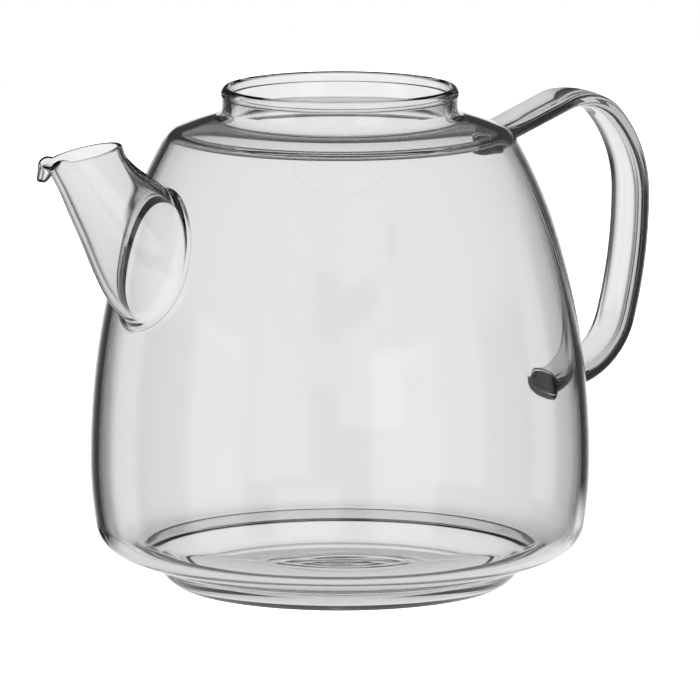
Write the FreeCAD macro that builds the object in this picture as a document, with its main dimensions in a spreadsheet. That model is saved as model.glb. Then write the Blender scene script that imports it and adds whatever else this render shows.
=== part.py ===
import FreeCAD, Part
import math
import os
import Sketcher

from FreeCAD import Vector

# A blown borosilicate glass teapot, in millimetres. The origin is the centre of the foot's
# resting plane, on the pot's axis. +Z is up, the spout leans towards +Y and the handle is at -Y.
# The vessel, the spout and the handle are separate pieces of glass, and each is fused to the
# vessel through a gather of molten glass, which is a piece of its own.

doc = FreeCAD.newDocument("glass_teapot")

# ---------------------------------------------------------------- driving dimensions

DIMENSIONS = {
    # The vessel's outer skin: arcs that run on from each other, up and down from the belly.
    "belly_radius": 66.0,
    "belly_height": 32.7,
    "wall_thickness": 2.2,
    "wall_lower_radius": 210.0,
    "wall_lower_sweep": 16.3,
    "wall_upper_radius": 124.0,
    "wall_upper_sweep": 12.8,
    "shoulder_corner_radius": 8.3,
    "shoulder_corner_sweep": 37.1,
    "shoulder_radius": 44.0,
    "belly_under_radius": 100.0,
    "belly_under_sweep": 9.9,
    "base_corner_radius": 8.7,
    "base_corner_sweep": 56.5,
    "underside_radius": 50.0,
    # The inside of the base: a ledge, then a slanting step down to the floor inside the foot.
    "inner_belly_under_sweep": 9.4,
    "inner_base_corner_radius": 6.5,
    "inner_ledge_radius": 47.0,
    "ledge_edge_radius": 51.8,
    "ledge_edge_height": 9.8,
    "floor_radius": 43.4,
    "floor_edge_height": 2.45,
    "floor_centre_height": 3.0,
    # The foot: a narrow ring to stand on, flaring up to a crease, round a shallow recess.
    "crease_radius": 49.0,
    "foot_flare_radius": 13.0,
    "foot_radius": 43.6,
    "foot_inner_radius": 41.6,
    "recess_radius": 40.6,
    "recess_depth": 0.9,
    "recess_centre_height": 1.1,
    # The neck, and the fire-polished bead round the mouth.
    "neck_outer_radius": 31.0,
    "neck_inner_radius": 28.6,
    "bead_radius": 1.35,
    "overall_height": 131.8,
    # Fillets that soften the vessel's turns.
    "crease_fillet": 0.8,
    "foot_fillet": 2.0,
    "ledge_fillet": 1.2,
    "floor_fillet": 3.0,
    "neck_fillet": 2.2,
    "neck_inner_fillet": 3.6,
    # The spout: how thick its glass is, across and along the slanting sections.
    "spout_wall": 1.7,
    "spout_wall_slanted": 1.9,
    "spout_joint_height": 2.6,
    "lip_reach": 4.5,
    "lip_half_width": 4.6,
    "lip_half_height": 2.8,
    "lip_centre_out": 85.0,
    "lip_centre_height": 115.4,
    # The handle: a flat glass strap that follows a line, four arcs and a line.
    "handle_width": 16.0,
    "handle_thickness": 4.4,
    "handle_edge_fillet": 1.4,
    "handle_reach": 89.8,
    "handle_reach_height": 97.5,
    "handle_back_radius": 33.6,
    "handle_back_sweep": 40.7,
    "handle_arch_radius": 13.9,
    "handle_arch_sweep": 70.9,
    "handle_bar_length": 21.7,
    "handle_grip_radius": 124.4,
    "handle_grip_sweep": 15.5,
    "handle_heel_radius": 22.0,
    "handle_heel_sweep": 56.0,
    "handle_tail_length": 6.9,
    # The gathers at the handle's ends.
    "handle_joint_height": 1.2,
    "gather_length": 4.2,
    "gather_half_width": 9.0,
    "gather_half_height": 4.9,
    "upper_gather_out": 47.2,
    "upper_gather_height": 115.8,
    "lower_gather_out": 65.3,
    "lower_gather_height": 47.3,
}

dims = doc.addObject("Spreadsheet::Sheet", "Dims")
for row, (alias, number) in enumerate(DIMENSIONS.items(), start=1):
    dims.set(f"A{row}", alias)
    dims.set(f"B{row}", str(number))
    dims.setAlias(f"B{row}", alias)
doc.recompute()


def size(alias):
    """A driving dimension, read back from the sheet."""
    return float(dims.get(alias))


# ---------------------------------------------------------------- sketch helpers

START, END, CENTRE = 1, 2, 3
ORIGIN_POINT = (-1, 1)
VERTICAL_AXIS = -2

# Where the solver starts, in degrees, for the arcs whose sweeps their neighbours settle.
SHOULDER_FIRST_SWEEP = 14.0
UNDERSIDE_FIRST_SWEEP = -15.0
INNER_CORNER_FIRST_SWEEP = -62.0
LEDGE_FIRST_SWEEP = -7.5


def axis_plane(body):
    """The body's own YZ plane, which holds the pot's axis, the spout and the handle."""
    planes = [f for f in body.Origin.OriginFeatures if f.Role == "YZ_Plane"]
    return planes[0]


class Outline:
    """A closed outline on the YZ plane, drawn end to end and tied to the sheet.

    A point is (across, up). A heading is the direction of travel, in degrees from across to up.
    """

    def __init__(self, body, name):
        self.sketch = body.newObject("Sketcher::SketchObject", name)
        self.sketch.AttachmentSupport = [(axis_plane(body), "")]
        self.sketch.MapMode = "FlatFace"
        self.point = None
        self.heading = None

    def tie(self, kind, places, value, expression):
        number = self.sketch.addConstraint(Sketcher.Constraint(kind, *places, value))
        self.sketch.setExpression(f"Constraints[{number}]", expression)

    def fix(self, geometry, end, across=None, up=None):
        """Tie an end's distance from the axis, its height, or both."""
        if across:
            self.tie("DistanceX", (*ORIGIN_POINT, geometry, end), *across)
        if up:
            self.tie("DistanceY", (*ORIGIN_POINT, geometry, end), *up)

    def start(self, point, heading):
        self.point = Vector(*point, 0)
        self.heading = heading

    def line(self, point):
        end = Vector(*point, 0)
        number = self.sketch.addGeometry(Part.LineSegment(self.point, end), False)
        step = end - self.point
        self.heading = math.degrees(math.atan2(step.y, step.x))
        self.point = end
        return number

    def arc(self, radius, sweep):
        """An arc that runs on from the heading; a positive sweep turns left."""
        side = 1 if sweep > 0 else -1
        from_centre = math.radians(self.heading - 90 * side)
        centre = self.point - Vector(math.cos(from_centre), math.sin(from_centre), 0) * radius
        ends = sorted([from_centre, from_centre + math.radians(sweep)])
        circle = Part.Circle(centre, Vector(0, 0, 1), radius)
        number = self.sketch.addGeometry(Part.ArcOfCircle(circle, *ends), False)
        far = from_centre + math.radians(sweep)
        self.point = centre + Vector(math.cos(far), math.sin(far), 0) * radius
        self.heading += sweep
        return number

    def free_arc(self, radius, first_sweep):
        """An arc tied to its radius only; its ends settle its sweep from a first guess."""
        number = self.arc(radius[0], first_sweep)
        self.tie("Radius", (number,), *radius)
        return number

    def sized_arc(self, radius, sweep, turn):
        """An arc whose radius and sweep are (value, expression) pairs; turn is 1 for left."""
        number = self.free_arc(radius, turn * sweep[0])
        self.tie("Angle", (number,), math.radians(sweep[0]), sweep[1])
        return number

    def join(self, first, second, smooth=False):
        """Make two (geometry, end) places meet, in line with each other if smooth."""
        kind = "Tangent" if smooth else "Coincident"
        self.sketch.addConstraint(Sketcher.Constraint(kind, *first, *second))


def cell(alias, grow=0.0, grow_by=""):
    """A (value, expression) pair for one cell, with a signed amount added to it."""
    return size(alias) + grow, f"Dims.{alias}{grow_by}"


def angle(alias):
    return size(alias), f"Dims.{alias} * 1 deg"


def rising_wall(outline, grow, grow_by):
    """The wall's two arcs and the shoulder's two, up from the belly, turning left.

    grow moves them out from the vessel's outer skin, and grow_by is the same as an expression.
    The last arc's sweep is left free, for the neck to settle.
    """
    belly = cell("belly_radius", grow, grow_by)
    height = cell("belly_height")
    outline.start((belly[0], height[0]), 90)
    arcs = []
    for name in ("wall_lower", "wall_upper", "shoulder_corner"):
        radius = cell(f"{name}_radius", grow, grow_by)
        arcs.append(outline.sized_arc(radius, angle(f"{name}_sweep"), 1))
    shoulder = cell("shoulder_radius", grow, grow_by)
    arcs.append(outline.free_arc(shoulder, SHOULDER_FIRST_SWEEP))
    for lower, upper in zip(arcs, arcs[1:]):
        outline.join((lower, END), (upper, START), smooth=True)
    outline.fix(arcs[0], START, belly, height)
    outline.fix(arcs[0], CENTRE, up=height)
    return arcs


def revolve(body, sketch, name):
    solid = body.newObject("PartDesign::Revolution", name)
    solid.Profile = sketch
    solid.ReferenceAxis = (sketch, ["V_Axis"])
    solid.Angle = 360
    sketch.Visibility = False
    return solid


def round_edges(body, base, name, radius_alias, wanted):
    """Fillet the base's edges that wanted(edge) picks."""
    doc.recompute()
    edges = [f"Edge{n}" for n, edge in enumerate(base.Shape.Edges, start=1) if wanted(edge)]
    fillet = body.newObject("PartDesign::Fillet", name)
    fillet.Base = (base, edges)
    fillet.setExpression("Radius", f"Dims.{radius_alias}")
    return fillet


def ring_at(radius, height, reach=0.05):
    """Picks the circular edge of this radius and height round the pot's axis."""

    def wanted(edge):
        curve = edge.Curve
        if not isinstance(curve, Part.Circle):
            return False
        centre = curve.Center
        on_axis = math.hypot(centre.x, centre.y) < reach
        return on_axis and abs(curve.Radius - radius) < reach and abs(centre.z - height) < reach

    return wanted


# ---------------------------------------------------------------- vessel

def flare_middle(low, high):
    """The middle of the foot's flare, which bulges outward and down between its two ends."""
    chord = high - low
    middle = (low + high) / 2
    radius = size("foot_flare_radius")
    bulge = radius - math.sqrt(radius**2 - (chord.Length / 2) ** 2)
    outward = Vector(chord.y, -chord.x, 0).normalize()
    return middle + outward * bulge


def blown_profile(body):
    """Half of the vessel's section: outer skin, rim bead, inner skin, floor and foot."""
    outline = Outline(body, "blown_profile")
    sketch = outline.sketch
    wall = size("wall_thickness")

    # Inner skin, up from the belly. It keeps one wall's thickness from the outer skin.
    inner = rising_wall(outline, -wall, " - Dims.wall_thickness")
    inner_neck_base = outline.point
    outer = rising_wall(outline, 0.0, "")
    outer_neck_base = outline.point

    # Neck and bead. The bead's inner side is flush with the neck's bore.
    bead = size("bead_radius")
    bead_centre = Vector(size("neck_inner_radius") + bead, size("overall_height") - bead, 0)
    bead_low = math.acos((size("neck_outer_radius") - bead_centre.x) / bead)
    bead_foot = bead_centre.y - bead * math.sin(bead_low)
    outline.point = Vector(size("neck_outer_radius"), outer_neck_base.y, 0)
    neck_out = outline.line((size("neck_outer_radius"), bead_foot))
    circle = Part.Circle(bead_centre, Vector(0, 0, 1), bead)
    rim = sketch.addGeometry(Part.ArcOfCircle(circle, -bead_low, math.pi), False)
    outline.point = Vector(size("neck_inner_radius"), bead_centre.y, 0)
    neck_in = outline.line((size("neck_inner_radius"), inner_neck_base.y))
    outline.join((outer[-1], END), (neck_out, START))
    outline.join((neck_out, END), (rim, START))
    outline.join((rim, END), (neck_in, START), smooth=True)
    outline.join((neck_in, END), (inner[-1], END))
    sketch.addConstraint(Sketcher.Constraint("Vertical", neck_out))
    sketch.addConstraint(Sketcher.Constraint("Vertical", neck_in))
    outline.tie("Radius", (rim,), *cell("bead_radius"))
    outline.fix(neck_out, START, across=cell("neck_outer_radius"))
    outline.fix(neck_in, END, across=cell("neck_inner_radius"))
    outline.fix(rim, CENTRE, up=cell("overall_height", -bead, " - Dims.bead_radius"))

    # Outer skin, down from the belly and in to the crease above the foot, turning right.
    outline.start((size("belly_radius"), size("belly_height")), -90)
    under = outline.sized_arc(cell("belly_under_radius"), angle("belly_under_sweep"), -1)
    corner = outline.sized_arc(cell("base_corner_radius"), angle("base_corner_sweep"), -1)
    underside = outline.free_arc(cell("underside_radius"), UNDERSIDE_FIRST_SWEEP)
    outline.join((under, END), (outer[0], START), smooth=True)
    outline.join((corner, END), (under, START), smooth=True)
    outline.join((underside, END), (corner, START), smooth=True)

    # The foot's flare, from the crease down to the ring that the pot stands on.
    outline.fix(underside, START, across=cell("crease_radius"))
    foot_edge = Vector(size("foot_radius"), 0, 0)
    flare_guess = Part.Arc(foot_edge, flare_middle(foot_edge, outline.point), outline.point)
    flare = sketch.addGeometry(flare_guess, False)
    outline.tie("Radius", (flare,), *cell("foot_flare_radius"))
    outline.join((underside, START), (flare, END))
    outline.fix(flare, START, across=cell("foot_radius"))
    sketch.addConstraint(Sketcher.Constraint("PointOnObject", flare, START, ORIGIN_POINT[0]))

    # Foot ring, recess, and up the axis to the floor.
    outline.point = foot_edge
    corners = [
        ("foot_inner_radius", None),
        ("recess_radius", "recess_depth"),
        (None, "recess_centre_height"),
        (None, "floor_centre_height"),
        ("floor_radius", "floor_edge_height"),
        ("ledge_edge_radius", "ledge_edge_height"),
    ]
    previous = (flare, START)
    for across, up in corners:
        place = (size(across) if across else 0.0, size(up) if up else 0.0)
        line = outline.line(place)
        outline.join(previous, (line, START))
        outline.fix(line, END, up=cell(up) if up else None)
        if across:
            outline.fix(line, END, across=cell(across))
        else:
            sketch.addConstraint(Sketcher.Constraint("PointOnObject", line, END, VERTICAL_AXIS))
        if not up:
            sketch.addConstraint(Sketcher.Constraint("PointOnObject", line, END, ORIGIN_POINT[0]))
        previous = (line, END)

    # Inner skin, down from the belly to the ledge. Its corner turns as far as the ledge needs.
    outline.start((size("belly_radius") - wall, size("belly_height")), -90)
    grow = (-wall, " - Dims.wall_thickness")
    inner_under = outline.sized_arc(
        cell("belly_under_radius", *grow), angle("inner_belly_under_sweep"), -1
    )
    inner_corner = outline.free_arc(cell("inner_base_corner_radius"), INNER_CORNER_FIRST_SWEEP)
    ledge = outline.free_arc(cell("inner_ledge_radius"), LEDGE_FIRST_SWEEP)
    outline.join((inner_under, END), (inner[0], START), smooth=True)
    outline.join((inner_corner, END), (inner_under, START), smooth=True)
    outline.join((ledge, END), (inner_corner, START), smooth=True)
    outline.join((ledge, START), previous)
    return sketch


def blow_vessel():
    """The vessel before its spout hole is cut: the turned section with its soft turns."""
    body = doc.addObject("PartDesign::Body", "vessel_blank")
    blank = revolve(body, blown_profile(body), "blown_glass")
    doc.recompute()
    crease_height = max(
        edge.Curve.Center.z
        for edge in blank.Shape.Edges
        if isinstance(edge.Curve, Part.Circle)
        and abs(edge.Curve.Radius - size("crease_radius")) < 0.01
    )
    turns = [
        ("crease", "crease_fillet", size("crease_radius"), crease_height),
        ("foot_outer", "foot_fillet", size("foot_radius"), 0.0),
        ("ledge_turn", "ledge_fillet", size("ledge_edge_radius"), size("ledge_edge_height")),
        ("floor_turn", "floor_fillet", size("floor_radius"), size("floor_edge_height")),
    ]
    for name, radius_alias, radius, height in turns:
        blank = round_edges(body, blank, name, radius_alias, ring_at(radius, height))
    doc.recompute()
    for name, fillet_alias, radius_alias in (
        ("neck_foot", "neck_fillet", "neck_outer_radius"),
        ("neck_foot_inner", "neck_inner_fillet", "neck_inner_radius"),
    ):
        lowest = min(
            edge.Curve.Center.z
            for edge in blank.Shape.Edges
            if isinstance(edge.Curve, Part.Circle)
            and abs(edge.Curve.Radius - size(radius_alias)) < 0.01
            and edge.Curve.Center.z > size("belly_height")
        )
        picker = ring_at(size(radius_alias), lowest)
        blank = round_edges(body, blank, name, fillet_alias, picker)
        doc.recompute()
    return body


def skin_form(name, grow, grow_by):
    """A solid up to the vessel's outer skin, or up to a skin outside it, above the belly.

    It trims what is fused to the vessel, so the pieces meet face to face.
    """
    body = doc.addObject("PartDesign::Body", name)
    outline = Outline(body, f"{name}_outline")
    arcs = rising_wall(outline, grow, grow_by)
    outline.fix(arcs[-1], END, across=cell("neck_outer_radius"))
    roof = outline.line((0, outline.point.y))
    axis = outline.line((0, size("belly_height")))
    floor = outline.line((size("belly_radius") + grow, size("belly_height")))
    outline.join((arcs[-1], END), (roof, START))
    outline.join((roof, END), (axis, START))
    outline.join((axis, END), (floor, START))
    outline.join((floor, END), (arcs[0], START))
    outline.sketch.addConstraint(Sketcher.Constraint("Horizontal", roof))
    outline.sketch.addConstraint(Sketcher.Constraint("Horizontal", floor))
    outline.sketch.addConstraint(Sketcher.Constraint("PointOnObject", axis, START, VERTICAL_AXIS))
    outline.sketch.addConstraint(Sketcher.Constraint("PointOnObject", axis, END, VERTICAL_AXIS))
    revolve(body, outline.sketch, f"{name}_solid")
    return body


# ---------------------------------------------------------------- spout

# The spout's outer form, from inside the vessel's wall to the mouth. Each section is an ellipse
# whose long way lies in the spout's plane, and the sections fan out from steep at the wall to
# nearly level at the mouth: centre out and up, dip of the long way, half length, half width.
SPOUT_SECTIONS = {
    "root": (53.2, 86.9, 75.0, 18.6, 16.8),
    "flare": (56.9, 90.3, 72.5, 18.1, 16.2),
    "throat": (62.0, 95.6, 66.0, 16.5, 13.2),
    "shank": (69.0, 105.6, 52.3, 12.1, 10.2),
    "collar": (73.5, 113.3, 29.7, 10.1, 8.3),
    "mouth": (76.4, 119.0, 11.5, 10.8, 7.3),
}

# The channel's own ends: it starts well inside the vessel and runs out past the mouth.
CHANNEL_ENDS = {
    "inlet": (49.4, 83.2, 76.0, 16.9, 14.1),
    "outlet": (77.2, 122.9, 11.5, 10.8, 7.4),
}
SECTION_COLUMNS = ("out", "up", "dip", "long", "wide")
THINNED_ALONG = " - Dims.spout_wall_slanted"
THINNED_ACROSS = " - Dims.spout_wall"

row = len(DIMENSIONS) + 1
for name, numbers in {**SPOUT_SECTIONS, **CHANNEL_ENDS}.items():
    for column, number in zip(SECTION_COLUMNS, numbers):
        alias = f"{name}_{column}"
        dims.set(f"A{row}", alias)
        dims.set(f"B{row}", str(number))
        dims.setAlias(f"B{row}", alias)
        row += 1
doc.recompute()


def place(thing, out, up, dip):
    """Put the thing's centre out and up from the origin, its own X turned outward and dipped.

    All three are expressions, and the dip is in degrees below the horizontal.
    """
    turn = f"rotation(vector(1; 0; 0); -({dip})) * rotation(vector(0; 0; 1); 90)"
    thing.setExpression("Placement", f"placement(vector(0; {out}; {up}); {turn})")


def section(label, name, along="", across=""):
    """One of the spout's ellipses, smaller by the glass where it is the channel's."""
    ellipse = doc.addObject("Part::Ellipse", label)
    ellipse.setExpression("MajorRadius", f"Dims.{name}_long{along}")
    ellipse.setExpression("MinorRadius", f"Dims.{name}_wide{across}")
    place(ellipse, f"Dims.{name}_out", f"Dims.{name}_up", f"Dims.{name}_dip")
    return ellipse


def loft(label, sections):
    solid = doc.addObject("Part::Loft", label)
    solid.Sections = sections
    solid.Solid = True
    solid.Ruled = False
    return solid


def boolean(kind, label, base, tool):
    result = doc.addObject(f"Part::{kind}", label)
    result.Base = base
    result.Tool = tool
    return result


def draw_spout():
    """The spout's glass, from inside the wall to the mouth, and the channel through it."""
    outer = loft("spout_outer", [section(f"outer_{name}", name) for name in SPOUT_SECTIONS])
    bore_names = ["inlet", "flare", "throat", "shank", "collar", "mouth", "outlet"]
    bores = [section(f"bore_{name}", name, THINNED_ALONG, THINNED_ACROSS) for name in bore_names]
    channel = loft("spout_channel", bores)
    lip = doc.addObject("Part::Ellipsoid", "pouring_lip")
    lip.Angle1 = -90
    lip.Angle2 = 90
    lip.setExpression("Radius1", "Dims.lip_half_height")
    lip.setExpression("Radius2", "Dims.lip_reach")
    lip.setExpression("Radius3", "Dims.lip_half_width")
    place(lip, "Dims.lip_centre_out", "Dims.lip_centre_height", "Dims.mouth_dip")
    lipped = boolean("Fuse", "lipped_spout", outer, lip)
    return boolean("Cut", "spout_glass", lipped, channel), channel


# ---------------------------------------------------------------- handle

def band_side(outline, offset, offset_by):
    """One long side of the handle's strap, half its thickness off the centre line.

    It is drawn from the point of furthest reach, first up to the shoulder, then down.
    """
    reach = (-size("handle_reach") - offset, f"-Dims.handle_reach{offset_by[0]}")
    height = cell("handle_reach_height")

    outline.start((reach[0], height[0]), 90)
    upward = []
    for name in ("handle_back", "handle_arch"):
        radius = cell(f"{name}_radius", offset, offset_by[1])
        upward.append(outline.sized_arc(radius, angle(f"{name}_sweep"), -1))
    bar = outline.line(along(outline, size("handle_bar_length")))
    outline.join((upward[1], END), (upward[0], START), smooth=True)
    outline.join((bar, START), (upward[1], START), smooth=True)
    outline.tie("Distance", (bar,), *cell("handle_bar_length"))

    outline.start((reach[0], height[0]), -90)
    downward = []
    for name in ("handle_grip", "handle_heel"):
        radius = cell(f"{name}_radius", offset, offset_by[1])
        downward.append(outline.sized_arc(radius, angle(f"{name}_sweep"), 1))
    tail = outline.line(along(outline, size("handle_tail_length")))
    outline.join((downward[0], END), (downward[1], START), smooth=True)
    outline.join((tail, START), (downward[1], END), smooth=True)
    outline.tie("Distance", (tail,), *cell("handle_tail_length"))

    outline.join((upward[0], END), (downward[0], START), smooth=True)
    outline.fix(upward[0], END, reach, height)
    outline.fix(upward[0], CENTRE, up=height)
    return bar, tail


def along(outline, length):
    """The point this far ahead on the outline's present heading."""
    way = math.radians(outline.heading)
    return outline.point.x + length * math.cos(way), outline.point.y + length * math.sin(way)


def end_point(sketch, line):
    segment = sketch.Geometry[line]
    return segment.EndPoint.x, segment.EndPoint.y


def draw_handle():
    """The strap: the band between its two long sides, padded to its width, edges rounded."""
    body = doc.addObject("PartDesign::Body", "strap")
    outline = Outline(body, "strap_outline")
    half = size("handle_thickness") / 2
    outside = (" - Dims.handle_thickness / 2", " + Dims.handle_thickness / 2")
    inside = (" + Dims.handle_thickness / 2", " - Dims.handle_thickness / 2")
    outer_bar, outer_tail = band_side(outline, half, outside)
    inner_bar, inner_tail = band_side(outline, -half, inside)
    for outer_end, inner_end in ((outer_bar, inner_bar), (outer_tail, inner_tail)):
        outline.point = Vector(*end_point(outline.sketch, outer_end), 0)
        cap = outline.line(end_point(outline.sketch, inner_end))
        outline.join((outer_end, END), (cap, START))
        outline.join((cap, END), (inner_end, END))
    pad = body.newObject("PartDesign::Pad", "strap_band")
    pad.Profile = outline.sketch
    pad.Midplane = True
    pad.setExpression("Length", "Dims.handle_width")
    outline.sketch.Visibility = False
    side = size("handle_width") / 2

    def long_edge(edge):
        box = edge.BoundBox
        on_side = abs(abs(box.XMin) - side) < 0.001 and box.XLength < 0.001
        cap_length = size("handle_thickness")
        return on_side and abs(edge.Length - cap_length) > 0.01

    round_edges(body, pad, "strap_edges", "handle_edge_fillet", long_edge)
    return body


def gather(label, name, dip, skin, handle):
    """The blob of molten glass that fuses one end of the strap to the vessel's wall."""
    blob = doc.addObject("Part::Ellipsoid", f"{label}_blob")
    blob.Angle1 = -90
    blob.Angle2 = 90
    blob.setExpression("Radius1", "Dims.gather_half_height")
    blob.setExpression("Radius2", "Dims.gather_length")
    blob.setExpression("Radius3", "Dims.gather_half_width")
    place(blob, f"-Dims.{name}_out", f"Dims.{name}_height", dip)
    outside = boolean("Cut", f"{label}_outside", blob, skin)
    return boolean("Cut", label, outside, handle)


# ---------------------------------------------------------------- assembly

vessel_blank = blow_vessel()
outer_skin = skin_form("outer_skin", 0.0, "")
spout_skin = skin_form("spout_skin", size("spout_joint_height"), " + Dims.spout_joint_height")
handle_skin = skin_form("handle_skin", size("handle_joint_height"), " + Dims.handle_joint_height")
spout_glass, spout_channel = draw_spout()
strap = draw_handle()

# The bar rises towards the arch, and the tail falls towards the wall, each with its gather.
BAR_DIP = "Dims.handle_back_sweep + Dims.handle_arch_sweep - 90"
TAIL_DIP = "Dims.handle_grip_sweep + Dims.handle_heel_sweep - 90"

vessel = boolean("Cut", "vessel", vessel_blank, spout_channel)
spout = boolean("Cut", "spout", spout_glass, spout_skin)
spout_foot = boolean("Common", "spout_foot", spout_glass, spout_skin)
spout_gather = boolean("Cut", "spout_gather", spout_foot, outer_skin)
handle = boolean("Cut", "handle", strap, handle_skin)
upper_gather = gather("upper_handle_gather", "upper_gather", BAR_DIP, outer_skin, handle)
lower_gather = gather("lower_handle_gather", "lower_gather", TAIL_DIP, outer_skin, handle)

SUB_PARTS = [vessel, spout, spout_gather, handle, upper_gather, lower_gather]

# ---------------------------------------------------------------- checks and export

doc.recompute()
for thing in doc.Objects:
    if "Invalid" in thing.State or "Error" in thing.State:
        raise RuntimeError(f"{thing.Label} failed: {thing.State}")
os.makedirs("parts", exist_ok=True)
for part in SUB_PARTS:
    if part.Shape.isNull() or not part.Shape.isValid():
        raise RuntimeError(f"{part.Label} has no valid shape")
for part in SUB_PARTS:
    part.Shape.exportStep(os.path.join("parts", f"{part.Label}.step"))
    box = part.Shape.BoundBox
    print(
        f"{part.Label}: {len(part.Shape.Solids)} solid, {part.Shape.Volume / 1000:.2f} cm3, "
        f"X {box.XMin:.1f} to {box.XMax:.1f}, Y {box.YMin:.1f} to {box.YMax:.1f}, "
        f"Z {box.ZMin:.1f} to {box.ZMax:.1f}"
    )
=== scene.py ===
import math

import bpy
import numpy as np
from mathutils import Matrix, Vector


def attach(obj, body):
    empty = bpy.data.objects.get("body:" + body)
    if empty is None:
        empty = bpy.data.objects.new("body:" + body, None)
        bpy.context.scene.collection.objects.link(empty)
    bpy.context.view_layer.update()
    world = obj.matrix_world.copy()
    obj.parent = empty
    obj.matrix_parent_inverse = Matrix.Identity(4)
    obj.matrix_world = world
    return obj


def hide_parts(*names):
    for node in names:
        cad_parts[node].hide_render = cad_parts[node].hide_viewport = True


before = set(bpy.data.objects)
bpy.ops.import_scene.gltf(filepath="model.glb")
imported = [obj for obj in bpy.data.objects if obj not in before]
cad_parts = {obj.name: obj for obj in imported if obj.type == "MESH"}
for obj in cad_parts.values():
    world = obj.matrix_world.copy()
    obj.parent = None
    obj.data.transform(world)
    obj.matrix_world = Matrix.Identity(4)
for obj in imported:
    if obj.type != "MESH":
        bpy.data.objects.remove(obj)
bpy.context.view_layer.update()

# A blown glass teapot. Sizes are in millimetres and angles in degrees until a mesh is made.
# The pot's axis is Z, its spout leans towards +Y (bearing 90) and its handle is at -Y (270).
# A glass surface is a grid of rows and columns, and each piece takes its own run of rows.

MM = 0.001
SPOUT_BEARING = 90.0
HANDLE_BEARING = 270.0

# ---------------------------------------------------------------- lines and curves

LINE_STEP = 0.1
CORNER_POINTS = 25


def direction(angle):
    """The unit vector, or one for each of several angles, from the first axis to the second."""
    turned = np.radians(angle)
    return np.stack([np.cos(turned), np.sin(turned)], axis=-1)


def unit(vectors):
    return vectors / np.maximum(np.linalg.norm(vectors, axis=-1, keepdims=True), 1e-12)


def arc(start, heading, radius, sweep):
    """Points along an arc that leaves start on the heading. A positive sweep turns left."""
    inward = heading + math.copysign(90, sweep)
    centre = np.array(start) + radius * direction(inward)
    count = max(2, math.ceil(abs(math.radians(sweep)) * radius / LINE_STEP))
    return centre - radius * direction(inward + np.linspace(0, sweep, count + 1))


def sweep_to(start, heading, radius, side, across):
    """How far an arc turns, to the left if side is 1, before it is this far across."""
    inward = heading + 90 * side
    centre = start[0] + radius * math.cos(math.radians(inward))
    meeting = math.degrees(math.acos((centre - across) / radius))
    return side * min((side * (m - inward)) % 360 for m in (meeting, -meeting))


def chain(start, heading, arcs, last=None):
    """Arcs (radius, sweep) that run on from each other, and last (radius, side, across)."""
    points = np.array([start])
    for radius, sweep in arcs:
        points = np.vstack([points, arc(points[-1], heading, radius, sweep)[1:]])
        heading += sweep
    if last:
        radius, side, across = last
        sweep = sweep_to(points[-1], heading, radius, side, across)
        points = np.vstack([points, arc(points[-1], heading, radius, sweep)[1:]])
    return points


def straight(start, end):
    count = max(2, math.ceil(math.dist(start, end) / LINE_STEP))
    return np.linspace(start, end, count + 1)


def bezier(first, second, third, fourth, share):
    """Cubic curve points at share, which runs from 0 to 1."""
    t = np.asarray(share)
    return (
        (1 - t) ** 3 * first
        + 3 * (1 - t) ** 2 * t * second
        + 3 * (1 - t) * t**2 * third
        + t**3 * fourth
    )


def run_lengths(points):
    """How far along the line each point is."""
    return np.append(0, np.cumsum(np.linalg.norm(np.diff(points, axis=0), axis=1)))


def joined(*runs):
    """Runs of points as one line, without the points that two neighbours share."""
    points = np.vstack(runs)
    apart = np.linalg.norm(np.diff(points, axis=0), axis=1) > 1e-6
    return points[np.append(True, apart)]


def soften(points, corner, radius):
    """The line with one corner rounded by a curve that runs on from both its sides."""
    at = np.argmin(np.linalg.norm(points - np.array(corner), axis=1))
    before, after = unit(np.array([points[at] - points[at - 1], points[at + 1] - points[at]]))
    turn = math.acos(np.clip(before @ after, -1, 1))
    back = radius * math.tan(turn / 2)
    lengths = run_lengths(points)
    ends = [lengths[at] - back, lengths[at] + back]
    first, last = (
        np.array([np.interp(end, lengths, points[:, axis]) for axis in (0, 1)]) for end in ends
    )
    head = points[lengths < ends[0] - LINE_STEP / 4]
    tail = points[lengths > ends[1] + LINE_STEP / 4]
    pull = radius * 4 / 3 * math.tan(turn / 4)
    share = np.linspace(0, 1, CORNER_POINTS)[:, None]
    leave = first + pull * unit(first - head[-1])
    arrive = last + pull * unit(last - tail[0])
    return joined(head, bezier(first, leave, arrive, last, share), tail)


def smooth_step(low, high, value):
    share = np.clip((value - low) / (high - low), 0, 1)
    return share * share * (3 - 2 * share)


# ---------------------------------------------------------------- the vessel's section

WALL = 2.2
BELLY = (66.0, 32.7)
RISING_ARCS = ((210.0, 16.3), (124.0, 12.8), (8.3, 37.1))
SHOULDER_RADIUS = 44.0
SHOULDER_THICKENING = 0.4
FALLING_ARCS = ((100.0, -9.9), (8.7, -56.5))
UNDERSIDE_RADIUS = 50.0
CREASE_ACROSS = 49.0
FLARE_RADIUS = 13.0
FOOT = (43.6, 0.0)
FOOT_INSIDE = (41.6, 0.0)
RECESS = (40.6, 0.9)
RECESS_CENTRE = (0.0, 1.1)
FLOOR_CENTRE = (0.0, 3.0)
FLOOR_EDGE = (43.4, 2.45)
LEDGE_EDGE = (52.2, 9.9)
LEDGE_HEADING = -181.0
INNER_UNDER_SWEEP = -9.4
NECK_OUTSIDE = 31.0
NECK_INSIDE = 28.6
RIM_TOP = 131.8
BEAD_HALF_HEIGHT = 1.8
BEAD_OVERHANG = 0.3
BEAD_POINTS = 90
INNER_CORNER_PULL = 0.42
INNER_CORNER_POINTS = 120


def outer_wall():
    """The wall's outside, up from the belly to the neck."""
    return chain(BELLY, 90, RISING_ARCS, (SHOULDER_RADIUS, 1, NECK_OUTSIDE))


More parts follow.
